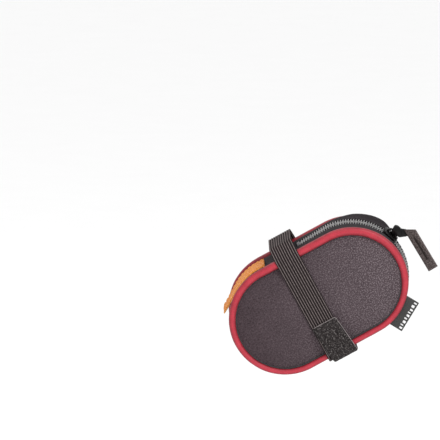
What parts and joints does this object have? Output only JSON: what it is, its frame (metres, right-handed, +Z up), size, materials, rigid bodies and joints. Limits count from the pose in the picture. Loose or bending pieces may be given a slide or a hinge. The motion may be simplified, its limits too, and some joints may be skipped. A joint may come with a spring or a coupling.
{
  "type": "saddle bag",
  "caption": "Small rounded pod bag with piped sides, a zip round its rear and an elastic strap that hangs it from two saddle rails.",
  "frame": {"origin": "midway between the axes of the two saddle rails, at the middle of the strap's width", "axes": "+X rearward along the bicycle, +Y to the bicycle's right, +Z up, with the bag in its mounted attitude"},
  "size_m": [0.1517, 0.0667, 0.106],
  "materials": {
    "side_fabric": "fine textured woven, matt",
    "foam_board": "closed cell foam, matt",
    "lining_fabric": "thin plain weave",
    "piping_fabric": "coated bias tape, soft sheen",
    "gusset_fabric": "coated woven, soft sheen",
    "zip_tape": "woven tape, matt",
    "zip_teeth": "moulded coil, satin",
    "slider_enamel": "gloss black enamel",
    "pull_webbing": "ribbed webbing, matt",
    "label_ribbon": "satin ribbon",
    "label_mark": "woven band, matt",
    "strap_elastic": "ribbed elastic, matt",
    "hook_tape": "moulded hooks, matt",
    "loop_tape": "brushed loops, fuzzy",
    "guard_fabric": "coated fabric, satin"
  },
  "bodies": {
    "root": {"near_panel_front": "side_fabric", "far_panel": "side_fabric", "near_foam_front": "foam_board", "far_foam": "foam_board", "near_lining_front": "lining_fabric", "far_lining": "lining_fabric", "near_piping_front": "piping_fabric", "far_piping": "piping_fabric", "gusset_front": "gusset_fabric", "gusset_rear_far": "gusset_fabric", "zip_tape_far": "zip_tape", "zip_teeth_far": "zip_teeth", "zip_stops_far": "zip_teeth", "elastic_strap": "strap_elastic", "hook_patch": "hook_tape", "loop_tab_base": "loop_tape", "front_guard": "guard_fabric"},
    "rear_flap": {"near_panel_rear": "side_fabric", "near_foam_rear": "foam_board", "near_lining_rear": "lining_fabric", "near_piping_rear": "piping_fabric", "gusset_rear_near": "gusset_fabric", "zip_tape_near": "zip_tape", "zip_teeth_near": "zip_teeth", "zip_stops_near": "zip_teeth", "label": "label_ribbon", "label_band": "label_mark"},
    "slider": {"zip_slider": "slider_enamel"},
    "puller": {"puller": "slider_enamel", "webbing_fold": "pull_webbing"},
    "webbing": {"pull_webbing": "pull_webbing"},
    "strap_tab": {"loop_tab_end": "loop_tape"}
  },
  "joints": [
    {"name": "flap_swing", "type": "hinge", "parent": "root", "child": "rear_flap", "pos_m": [0.02878, -0.031, -0.03372], "axis": [0.4802, 0, -0.8771], "range_deg": [0, 35]},
    {"name": "zip_run", "type": "hinge", "parent": "rear_flap", "child": "slider", "pos_m": [0.04847, 0, -0.02294], "axis": [0, -1, 0], "range_deg": [-80, 54]},
    {"name": "puller_swing", "type": "hinge", "parent": "slider", "child": "puller", "pos_m": [0.07792, 0, 0.00942], "axis": [0, -1, 0], "range_deg": [-8, 75]},
    {"name": "webbing_swing", "type": "hinge", "parent": "puller", "child": "webbing", "pos_m": [0.09042, 0, 0.00942], "axis": [0, -1, 0], "range_deg": [-8, 60]},
    {"name": "tab_peel", "type": "hinge", "parent": "root", "child": "strap_tab", "pos_m": [0.03885, -0.0343, -0.07096], "axis": [0.8771, 0, 0.4802], "range_deg": [0, 110]}
  ]
}
